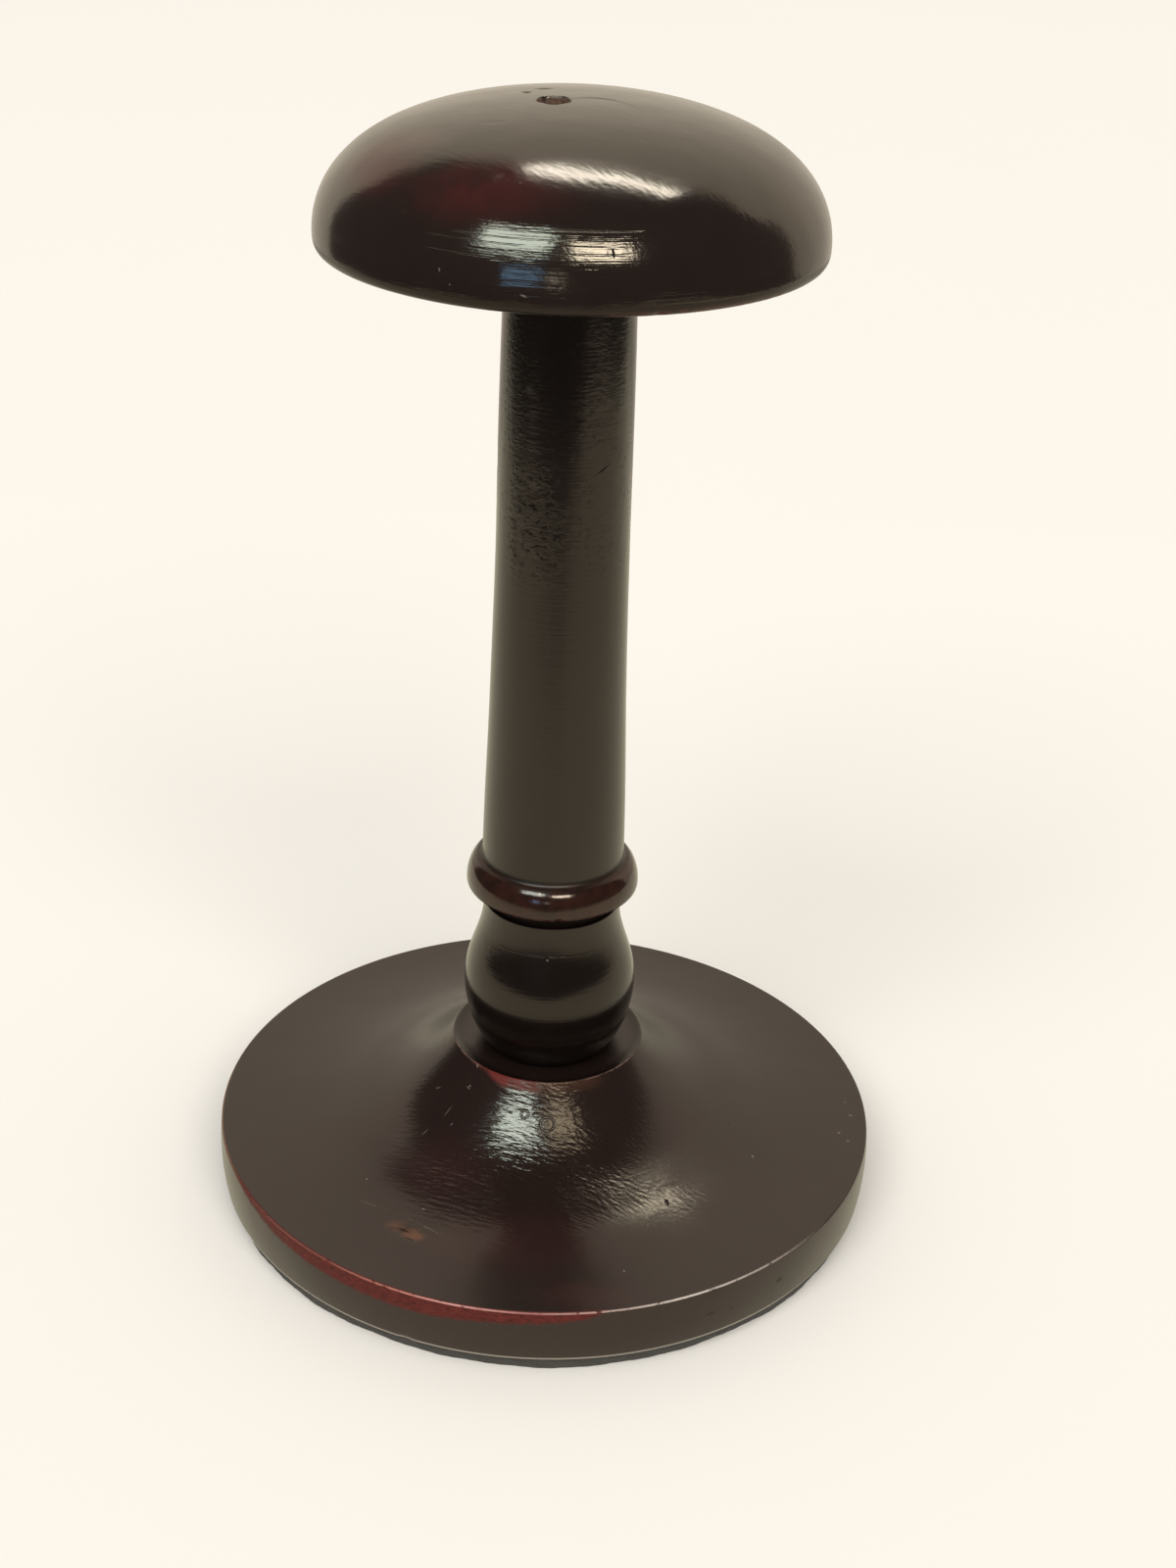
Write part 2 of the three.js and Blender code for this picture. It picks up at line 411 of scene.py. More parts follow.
def wear_crease(points, waist):
    """A shallow scoop right of the pit, with a crisp curved edge behind it."""
    along = points[:, 0] - 4
    edge = -1.8 - 0.07 * along ** 2 - points[:, 1]
    step = falloff(0.9 - np.clip(edge, 0, 0.9), 0.9) * np.clip(1 - edge / 6.5, 0, 1)
    ends = falloff(np.abs(along - 1), 9.5)
    points[:, 2] -= (points[:, 2] > waist) * 0.13 * step * ends
    return points


def make_cap():
    waist = CAP_LOW + CAP_ROLL
    top = waist + DOME
    socket = CAP_LOW + CAP_TENON_LENGTH + SOCKET_SPARE
    bore = CAP_TENON_RADIUS + GLUE
    dome = curve(
        (CAP_RADIUS, waist), (CAP_RADIUS, waist + DOME * DOME_SIDE_PULL),
        (CAP_RADIUS * DOME_TOP_PULL, top), (0, top), steps=400,
    )
    split = next(i for i, p in enumerate(dome) if p[0] < FINE_RADIUS)
    runs = [
        *straights(
            [3, 4, 3],
            (0, socket), (bore, socket), (bore, CAP_LOW), (CAP_RADIUS - CAP_INSET, CAP_LOW),
        ),
        (curve((CAP_RADIUS - CAP_INSET, CAP_LOW), (CAP_RADIUS, CAP_LOW), (CAP_RADIUS, waist)), 0.4),
        (dome[:split + 1], 0.8),
        (dome[split:], 0.22),
    ]

    def wear(points):
        points = wear_pit(points, waist)
        points = wear_crease(points, waist)
        return dents(points, CAP_DENTS)

    outline = section(runs, [0.2, 0.5, 0.35, 0, 0, 0])
    return revolve("cap_turned", outline, 384, wear=wear)


# Felt pad, with an edge that was cut by hand
PAD_INSET, PAD_BULGE, PAD_EDGE_REACH = 1.5, 0.35, 4


def make_pad():
    radius = BASE_FOOT_RADIUS - PAD_INSET
    runs = [
        *straights([5], (0, 0), (radius, 0)),
        (curve((radius, 0), (radius + PAD_BULGE, PAD_TOP / 2), (radius, PAD_TOP)), 0.5),
        *straights([5], (radius, PAD_TOP), (0, PAD_TOP)),
    ]
    outline = section(runs, [0.4, 0.7, 0])

    def wear(points):
        radius_now, angle = polar(points)
        edge = falloff(np.abs(radius_now - radius), PAD_EDGE_REACH)
        cut = (0.22 * np.sin(angle * 7 + 1.1) + 0.14 * np.sin(angle * 17 + 0.4)
               + 0.09 * np.sin(angle * 43 + points[:, 2] * 2.1) + 0.05 * np.sin(angle * 131))
        points[:, :2] *= (1 + edge * (cut - 0.15) / np.maximum(radius_now, 1))[:, None]
        return points

    return revolve("base_pad_felt", outline, 384, wear=wear)


class Graph:
    """Builds the node graph of a material or a world. Arguments may be sockets or plain values."""

    def __init__(self, name, kind="materials", output="OutputMaterial"):
        self.owner = getattr(bpy.data, kind).new(name)
        self.owner.use_nodes = True
        self.tree = self.owner.node_tree
        self.tree.nodes.clear()
        self.output = self.node(output)

    def node(self, kind, inputs=None, **settings):
        """A node with its settings, and what its inputs take, by name or number."""
        made = self.tree.nodes.new("ShaderNode" + kind)
        for key, value in settings.items():
            setattr(made, key, value)
        for key, value in (inputs or {}).items():
            if value is not None:
                self.put(made.inputs[key], value)
        return made

    def put(self, socket, value):
        if isinstance(value, bpy.types.NodeSocket):
            self.tree.links.new(value, socket)
        else:
            socket.default_value = value

    def finish(self, shader):
        self.put(self.output.inputs["Surface"], shader.outputs[0])
        return self.owner

    def math(self, operation, a, b=None):
        return self.node("Math", {0: a, 1: b}, operation=operation).outputs[0]

    def vector(self, operation, a, b=None):
        second = 3 if operation == "SCALE" else 1
        made = self.node("VectorMath", {0: a, second: b}, operation=operation)
        return made.outputs["Value" if operation == "LENGTH" else "Vector"]

    def combine(self, x, y, z):
        return self.node("CombineXYZ", {0: x, 1: y, 2: z}).outputs[0]

    def noise(self, vector, scale=1, detail=2, roughness=0.5, w=None):
        return self.node("TexNoise", {
            "Vector": vector, "W": w, "Scale": scale, "Detail": detail, "Roughness": roughness,
        }, noise_dimensions="3D" if w is None else "4D").outputs["Fac"]

    def ease(self, value, low, high, out_low=0, out_high=1):
        return self.node("MapRange", {
            "Value": value, "From Min": low, "From Max": high, "To Min": out_low, "To Max": out_high,
        }, interpolation_type="SMOOTHSTEP").outputs["Result"]

    def mix(self, share, a, b):
        a, b = (c if isinstance(c, bpy.types.NodeSocket) else (*c, 1) for c in (a, b))
        return self.node("Mix", {"Factor": share, 6: a, 7: b}, data_type="RGBA").outputs[2]

    def colours(self, value, low, high, stops):
        """A colour that runs through (place, red, green, blue) stops between low and high."""
        made = self.node("ValToRGB")
        elements = made.color_ramp.elements
        while len(elements) < len(stops):
            elements.new(0.5)
        for element, (place, *colour) in zip(elements, stops):
            element.position = (place - low) / (high - low)
            element.color = (*colour, 1)
        self.put(made.inputs["Fac"], self.math("DIVIDE", self.less(value, low), high - low))
        return made.outputs["Color"]

    def levels(self, value, low, high, stops):
        """A number that runs through (place, level) stops between low and high."""
        return self.colours(value, low, high, [(place, level, level, level) for place, level in stops])

    def bump(self, height, distance, normal=None, strength=1):
        return self.node("Bump", {
            "Height": height, "Distance": distance, "Strength": strength, "Normal": normal,
        }).outputs["Normal"]

    def coordinates(self):
        """Place in millimetres, its parts, the radius, the way out from the axis and the angle."""
        source = self.node("TexCoord").outputs["Object"]
        place = self.vector("SCALE", source, 1 / MM)
        x, y, z = self.node("SeparateXYZ", {0: place}).outputs
        flat = self.combine(x, y, 0)
        radius = self.most(self.vector("LENGTH", flat), 0.01)
        out = self.vector("SCALE", flat, self.math("DIVIDE", 1, radius))
        angle = self.math("ARCTAN2", x, self.times(y, -1))
        return place, (x, y, z), radius, out, self.times(angle, 180 / math.pi)

    def framed(self, place, centre, sizes, turn=0):
        """The place in a frame of its own, with each axis in units of its size. The turn is about
        the upright axis, or about all three."""
        turns = turn if isinstance(turn, tuple) else (0, 0, turn)
        return self.node("Mapping", {
            "Vector": place, "Location": centre, "Rotation": [math.radians(t) for t in turns],
            "Scale": sizes,
        }, vector_type="TEXTURE").outputs[0]

    def stretched(self, place, length, turn):
        """The place drawn out along a direction, for grain."""
        return self.framed(place, (0, 0, 0), (length, 1, 1), turn)

    def mark(self, place, centre, sizes, turn, soft, strength=1):
        """Its strength inside an ellipsoid, easing to 0 at its surface."""
        away = self.vector("LENGTH", self.framed(place, centre, sizes, turn))
        return self.ease(away, 1, 1 - soft, 0, strength)

    def marks(self, place, *rows):
        """The strongest of several marks, each a row of what mark takes."""
        return self.most(*[self.mark(place, *row) for row in rows])

    def near(self, value, centre, inner, outer):
        """1 where the value is within inner of the centre, easing to 0 at outer."""
        return self.ease(self.math("ABSOLUTE", self.less(value, centre)), outer, inner)

    def circle(self, radius, z, at_radius, at_z, width):
        """A line round the axis, at a radius and a height."""
        flat = self.combine(self.less(radius, at_radius), self.less(z, at_z), 0)
        return self.ease(self.vector("LENGTH", flat), width, width * 0.4)

    def ring_mark(self, place, centre, size, width):
        """A small ring round a point."""
        away = self.vector("LENGTH", self.framed(place, centre, (1, 1, 1)))
        return self.near(away, size, width * 0.3, width)

    def chain(self, operation, values):
        out = values[0]
        for value in values[1:]:
            out = self.math(operation, out, value)
        return out

    def most(self, *values):
        return self.chain("MAXIMUM", values)

    def times(self, *values):
        return self.chain("MULTIPLY", values)

    def plus(self, *values):
        return self.chain("ADD", values)

    def less(self, value, other):
        return self.math("SUBTRACT", value, other)

    def inverse(self, value):
        return self.less(1, value)

    def surface(self, inputs):
        return self.finish(self.node("BsdfPrincipled", inputs))

    def lacquer(self, colour, roughness, normal, dull, ior, tint):
        """Lacquer that has lost its gloss where it is dull."""
        gloss = self.times(self.inverse(dull), 0.5)
        return self.surface({"Base Color": colour, "Roughness": roughness, "Normal": normal, "IOR": ior,
                             "Specular Tint": (*tint, 1), "Specular IOR Level": gloss})


# Tints of the gloss
CAP_VARNISH = (1, 0.92, 0.78)
BASE_VARNISH = (1, 0.885, 0.86)
SHAFT_VARNISH = (1, 0.87, 0.8)


def lacquer_on_base():
    g = Graph("lacquer_base")
    place, (x, y, z), radius, out, angle = g.coordinates()
    cloud = g.noise(place, 0.035, 3, 0.55)
    fine = g.noise(place, 0.55, 4, 0.6)
    warp = g.noise(place, 0.9, 3, 0.6)

    # Red undertone shows through in clouds over the front of the sweep
    glow = g.marks(
        place,
        ((-24, -38, 23), (19, 17, 12), 0, 0.95, 0.55),
        ((-6, -60, 18), (34, 15, 10), 0, 0.95, 0.8),
        ((12, -76, 17.5), (18, 8, 6), 0, 0.95),
    )
    colour = g.mix(g.ease(cloud, 0.35, 0.7, 0, 0.6), (0.0145, 0.0078, 0.0062), (0.0105, 0.0058, 0.0046))
    colour = g.mix(g.times(glow, g.ease(cloud, 0.25, 0.6, 0.6, 1)), colour, (0.027, 0.0095, 0.0085))

    # Worn band below the rim, deepest left of the middle
    depth = g.times(g.levels(angle, -70, 20, (
        (-70, 0), (-62.8, 0.1), (-48.4, 0.6), (-43, 0.68), (-40.3, 0.74), (-32.2, 0.82),
        (-23.2, 0.9), (-16, 0.88), (-7, 0.68), (2.9, 0.54), (8.3, 0.38), (12.35, 0),
    )), 5)
    level = g.plus(z, g.times(g.less(warp, 0.5), 1.5))
    below = g.less(17.5, level)
    band = g.times(g.ease(g.less(below, depth), 0.45, -0.75),
                   g.ease(depth, 0.05, 0.5), g.ease(radius, 81.6, 82.1))
    streaks = g.noise(g.combine(x, y, g.times(z, 3)), 0.7, 3, 0.6)
    worn_red = g.mix(g.ease(streaks, 0.3, 0.7), (0.115, 0.017, 0.013), (0.052, 0.01, 0.008))
    band = g.times(band, g.ease(streaks, 0.1, 0.5, 0.75, 1))
    colour = g.mix(band, colour, worn_red)

    # Pale lines along the rim's two arrises: partly wear where the lacquer has rubbed through, partly a
    # painted highlight of the light the rounded arrises catch
    chafe = g.noise(place, 0.45, 4, 0.75)
    arris = g.times(g.circle(radius, z, 82.38, 17.42, 0.33), g.ease(chafe, 0.33, 0.47),
                    g.near(angle, -4, 44, 64))
    worn_line_and_highlight = g.colours(angle, -70, 70, [
        (-64, 0.12, 0.045, 0.03), (-44, 0.17, 0.058, 0.042), (-36, 0.17, 0.056, 0.038),
        (-23, 0.4, 0.15, 0.115), (-12, 0.56, 0.28, 0.25), (-1, 0.32, 0.13, 0.115),
        (8, 0.4, 0.24, 0.21), (14, 0.36, 0.28, 0.24), (25, 0.62, 0.54, 0.48),
        (37, 0.36, 0.3, 0.26), (60, 0.1, 0.07, 0.055),
    ])
    colour = g.mix(g.times(arris, 0.9), colour, worn_line_and_highlight)
    orange = g.times(g.circle(radius, z, 82.38, 17.42, 0.4), g.near(angle, -82, 12, 24))
    colour = g.mix(g.times(orange, 0.6), colour, (0.2, 0.08, 0.04))
    # The lower arris line is partly wear and partly painted highlight as well
    low_line_wear_and_highlight = g.times(g.circle(radius, z, 82.05, 4.05, 0.5), g.ease(chafe, 0.25, 0.42, 0.45, 1),
                       g.near(angle, -8, 48, 70))
    colour = g.mix(g.times(low_line_wear_and_highlight, 0.85), colour, (0.3, 0.265, 0.225))

    # Rubbed arris of the boss, red at the front left and a thin pale line at its sides
    rubbed = g.noise(place, 0.35, 3, 0.55)
    spread = g.ease(angle, -42, -22, 24.3, 25.9)
    boss = g.times(g.ease(g.less(radius, spread), 0, -1.2), g.ease(z, 36.6, 38.6),
                   g.ease(radius, 22.9, 23.5), g.near(angle, -26, 20, 27),
                   g.ease(rubbed, 0.28, 0.6, 0.45, 1))
    colour = g.mix(g.times(boss, 0.95), colour, (0.12, 0.017, 0.013))
    dish = g.times(g.ease(radius, 23.3, 22.6), g.ease(z, 37, 38))
    colour = g.mix(dish, colour, (0.011, 0.0065, 0.0052))
    brown = g.times(g.ease(radius, 26.5, 24), g.ease(z, 36, 38.6), g.ease(radius, 22.9, 23.5),
                    g.near(angle, 12, 12, 30))
    colour = g.mix(g.times(brown, 0.7), colour, (0.045, 0.02, 0.012))
    thread = g.times(g.circle(radius, z, 23.7, 39.75, 0.34), g.ease(chafe, 0.4, 0.52),
                     g.most(g.near(angle, -58, 12, 22), g.near(angle, 44, 16, 24)))
    colour = g.mix(g.times(thread, 0.38), colour, (0.2, 0.11, 0.085))

    # Brown scuff, crossed by darker slashes
    bare = g.noise(g.stretched(place, 2.6, -25), 0.75, 3, 0.6)
    scuff = g.times(g.marks(
        place,
        ((-29.2, -57.6, 18.6), (3.9, 2.6, 3), -22, 0.7),
        ((-33.6, -54.8, 18.7), (3.6, 2.6, 3), -15, 0.8, 0.6),
    ), g.ease(bare, 0.3, 0.52))
    colour = g.mix(g.times(scuff, 0.95), colour, (0.13, 0.058, 0.032))
    slash = g.marks(
        place,
        ((-31.6, -56, 18.7), (2.6, 0.45, 3), -28, 0.7),
        ((-30.2, -58.8, 18.6), (2, 0.3, 3), -28, 0.7),
    )
    colour = g.mix(g.times(slash, 0.85), colour, (0.006, 0.003, 0.002))
    hair = g.times(g.marks(
        place,
        ((-39.8, -47.4, 19.3), (5.6, 0.32, 3), -27, 0.8),
        ((-26.4, -55.2, 18.8), (10, 0.34, 3), -33, 0.8),
        ((-18.6, -49.4, 19.8), (7.6, 0.3, 3), -19, 0.8),
    ), g.ease(chafe, 0.4, 0.6))
    colour = g.mix(g.times(hair, 0.35), colour, (0.14, 0.1, 0.08))

    # Dark stains on the side and a black fleck on the top
    stains = g.marks(
        place,
        ((57.4, -59.7, 11.2), (1.7, 1.7, 1.1), -44, 0.9),
        ((40.8, -72, 10.6), (2.2, 2.2, 0.6), 0, 0.9, 0.7),
        ((46, -68.9, 9.6), (0.6, 0.6, 1), 0, 0.9, 0.6),
        ((46.6, -13, 21), (0.5, 1, 2), 10, 0.6),
    )
    colour = g.mix(g.times(stains, 0.8), colour, (0.003, 0.002, 0.002))

    # Dust and small bruises that show pale
    specks = g.marks(place, *[
        (centre, (size, size * 1.9, 0.6), turn, 0.5) for centre, size, turn in (
            ((78.6, -1.2, 17.6), 0.34, 70), ((75, -9.2, 17.8), 0.34, 20),
            ((77, -12.3, 17.6), 0.3, 60), ((77.5, 4.5, 17.6), 0.22, 30),
            ((52.2, -23.4, 19.8), 0.34, 25), ((20.5, -67.2, 18.1), 0.26, 10),
            ((-22.4, -26.7, 28.5), 0.22, -40), ((-27.5, -49.5, 19.9), 0.28, 75),
            ((-42.2, -38.5, 19.9), 0.24, 0), ((-18.4, -20, 35.2), 0.24, 50),
            ((-16.8, -17, 39.4), 0.34, 0), ((26, -52, 20), 0.18, 0),
        )
    ])
    scratch = g.marks(
        place,
        ((-29, -26.7, 25.8), (0.2, 1.5, 1.2), -46, 0.7, 0.5),
        ((-23.6, -23.2, 29.9), (0.16, 2.2, 2.2), -46, 0.8, 0.5),
        ((-26.6, -15.9, 31.6), (1.5, 0.24, 0.7), -20, 0.8, 0.5),
        ((-18.8, -20.2, 34.9), (0.9, 0.2, 0.6), -50, 0.8, 0.5),
    )
    colour = g.mix(g.most(g.times(specks, 0.32), g.times(scratch, 0.5)), colour, (0.34, 0.31, 0.27))

    # Grain in the lacquer, strongest on the boss, and two small ringed bruises
    right = g.ease(x, 6, 20)
    grain = g.plus(
        g.times(g.noise(g.stretched(place, 4.5, -18), 1.1, 2, 0.55), g.inverse(right)),
        g.times(g.noise(g.stretched(place, 3.2, -27), 1.15, 2, 0.55), right, 0.7),
    )
    rings = g.noise(g.vector("SCALE", out, 2.2), w=g.times(radius, 1.2))
    on_lights = g.most(g.near(angle, 0, 26, 44), g.near(angle, 36, 12, 26))
    on_strip = g.mark(place, (31, -43, 20.5), (17, 13, 8), 30, 0.8)
    on_sweep = g.times(g.ease(radius, 66, 40, 0.14, 1), g.ease(x, 14, 28, 1, 0.3))
    depth_of_grain = g.times(g.most(on_sweep, g.times(on_strip, 0.58)),
                             g.ease(z, 17.2, 17.6, 0.25, 1), g.ease(on_lights, 0, 1, 0.22, 1))
    bruises = g.most(
        g.ring_mark(place, (-4.5, -28.6, 33.6), 0.9, 0.38),
        g.ring_mark(place, (1.1, -30.3, 32.2), 1.7, 0.42),
    )
    chip = g.mark(place, (30.6, -44.3, 20.8), (0.6, 1.2, 2), 15, 0.9)
    height = g.plus(g.times(grain, depth_of_grain, 1.15), g.times(rings, depth_of_grain, 0.25),
                    g.times(fine, 0.07), g.times(bruises, -0.7), g.times(chip, -1))
    normal = g.bump(height, 0.00016)
    normal = g.bump(g.noise(place, 0.06, 1), 0.00022, normal)
    behind = g.times(g.ease(y, -18, 6), g.ease(radius, 66, 50))
    beside = g.times(g.ease(x, 15, 30), g.ease(radius, 60, 46), g.inverse(on_strip))
    roughness = g.plus(g.ease(radius, 54, 76, 0.15, 0.24), g.times(fine, 0.05), g.times(scuff, 0.3),
                       g.times(band, 0.3), g.times(boss, 0.3), g.times(dish, 0.04),
                       g.times(bruises, 0.1), g.times(behind, 0.09), g.times(beside, 0.11))
    dull = g.most(g.times(band, 0.64), g.times(boss, 0.75), g.times(scuff, 0.4), g.times(slash, 0.6),
                  g.times(stains, 0.6), g.times(bruises, 0.25), g.times(chip, 0.35))
    return g.lacquer(colour, roughness, normal, dull, 1.5, BASE_VARNISH)


def lacquer_on_cap():
    g = Graph("lacquer_cap")
    place, (x, _, z), radius, out, angle = g.coordinates()
    cloud = g.noise(place, 0.045, 3, 0.55)
    fine = g.noise(place, 0.6, 4, 0.6)
    colour = g.mix(g.ease(cloud, 0.35, 0.7, 0, 0.6), (0.0135, 0.0085, 0.0072), (0.0095, 0.006, 0.005))

    # The red undertone is strongest in a patch on the front left of the dome
    patch = g.marks(
        place,
        ((-17, -41, 260.5), (26, 17, 10), 0, 0.98),
        ((-36, -22, 262), (17, 17, 10), 0, 0.98),
    )
    warped = g.times(patch, g.ease(g.noise(place, 0.11), 0.3, 0.62, 0.25, 1))
    colour = g.mix(g.times(warped, 0.9), colour, (0.047, 0.0105, 0.0098))
    haze = g.mark(place, (-39.5, -22.5, 260), (15, 18, 9), 0, 0.98)
    colour = g.mix(g.times(haze, 0.7), colour, (0.052, 0.0115, 0.0105))
    warm = g.mark(place, (48, -20, 256), (16, 22, 12), 0, 0.95, 0.45)
    colour = g.mix(warm, colour, (0.026, 0.01, 0.008))

    # Lower edge, rubbed red brown on the right
    rubbed = g.noise(place, 0.5, 3, 0.6)
    under = g.ease(z, 241.9, 240.9)
    edge = g.times(g.ease(z, 240.6, 239.3), g.near(angle, 34, 10, 34), g.ease(rubbed, 0.35, 0.6))
    colour = g.mix(g.times(edge, 0.55), colour, (0.11, 0.034, 0.022))

    # Bare brown wood inside the pit, with chips beside it
    sunk = g.plus(z, g.times(radius, radius, 0.003))
    pit = g.times(g.mark(place, (PIT_X, PIT_Y, 270.6), (4, 4, 6), 0, 0.1),
                  g.ease(sunk, 270.5, 270.25))
    crumble = g.noise(place, 1.4, 3, 0.6)
    bare = g.mix(g.ease(crumble, 0.3, 0.7), (0.17, 0.112, 0.078), (0.075, 0.044, 0.03))
    colour = g.mix(pit, colour, bare)
    chips = g.marks(
        place,
        ((-10.4, 2.6, 270.2), (1.3, 0.8, 4), -25, 0.6),
        ((-6.9, 6.9, 270.2), (2.4, 0.8, 4), 10, 0.6, 0.7),
        ((-15.8, -19.2, 268.5), (3.6, 0.4, 4), -18, 0.7, 0.5),
    )
    colour = g.mix(chips, colour, (0.012, 0.007, 0.005))

    # Scratches and specks
    pale = g.marks(
        place,
        ((-32.3, -39.8, 254.8), (2.6, 0.42, 0.4), -42, 0.8, 0.35),
        ((-14, -39.8, 262.6), (1.9, 1.1, 1.4), 15, 0.8, 0.12),
        ((-9.6, -42, 261.5), (0.7, 0.4, 0.4), 0, 0.8, 0.2),
        ((-24.7, -49, 245.9), (0.26, 0.35, 0.5), 0, 0.6, 0.45),
        ((-22.6, -50.4, 243.4), (0.22, 0.3, 0.3), 0, 0.6, 0.45),
        ((-8.1, -54.6, 242.9), (1, 0.6, 0.28), (0, 20, 0), 0.8, 0.6),
        ((19.2, -51.9, 252.9), (0.9, 0.4, 0.25), 0, 0.8, 0.5),
    )
    colour = g.mix(g.times(pale, 0.6), colour, (0.3, 0.26, 0.22))
    nick = g.mark(place, (8.8, -52.4, 251.3), (0.3, 0.8, 1.1), (0, -15, 0), 0.5)
    colour = g.mix(nick, colour, (0.004, 0.002, 0.001))

    # Turning lines across the front, low on the dome, and slanting grain over all of it
    front = g.times(g.ease(z, 259, 255), g.near(angle, -8, 26, 58))
    rings = g.noise(g.vector("SCALE", out, 1.6), 1, 3, 0.65, w=g.times(z, 1.5))
    wavering = g.plus(z, g.times(fine, 0.25))
    scored = g.most(*[
        g.times(g.near(wavering, level, 0.05, width), g.near(angle, middle, inner, outer))
        for level, width, middle, inner, outer in (
            (251, 0.22, -6, 14, 20), (252.1, 0.18, -22, 8, 14), (249.6, 0.16, -20, 8, 14),
            (253.2, 0.16, -14, 10, 16), (254.9, 0.18, 6, 8, 12),
        )
    ])
    grain = g.noise(g.stretched(place, 4, -40), 0.95, 3, 0.6)
    height = g.plus(g.times(front, rings, 0.62), g.times(scored, -0.65), g.times(grain, 0.3),
                    g.times(fine, 0.04), g.times(nick, -1))
    normal = g.bump(height, 0.00013)
    normal = g.bump(g.noise(place, 0.07, 1), 0.0003, normal)
    sides = g.inverse(g.near(x, 0, 30, 46))
    roughness = g.plus(g.ease(z, 256, 263, 0.085, 0.15), g.times(fine, 0.04), g.times(pit, 0.5),
                       g.times(edge, 0.2), g.times(under, 0.12), g.times(sides, 0.07))
    dull = g.most(pit, g.times(nick, 0.9), g.times(chips, 0.6), g.times(under, 0.62),
                  g.times(haze, 0.42))
    return g.lacquer(colour, roughness, normal, dull, 1.58, CAP_VARNISH)


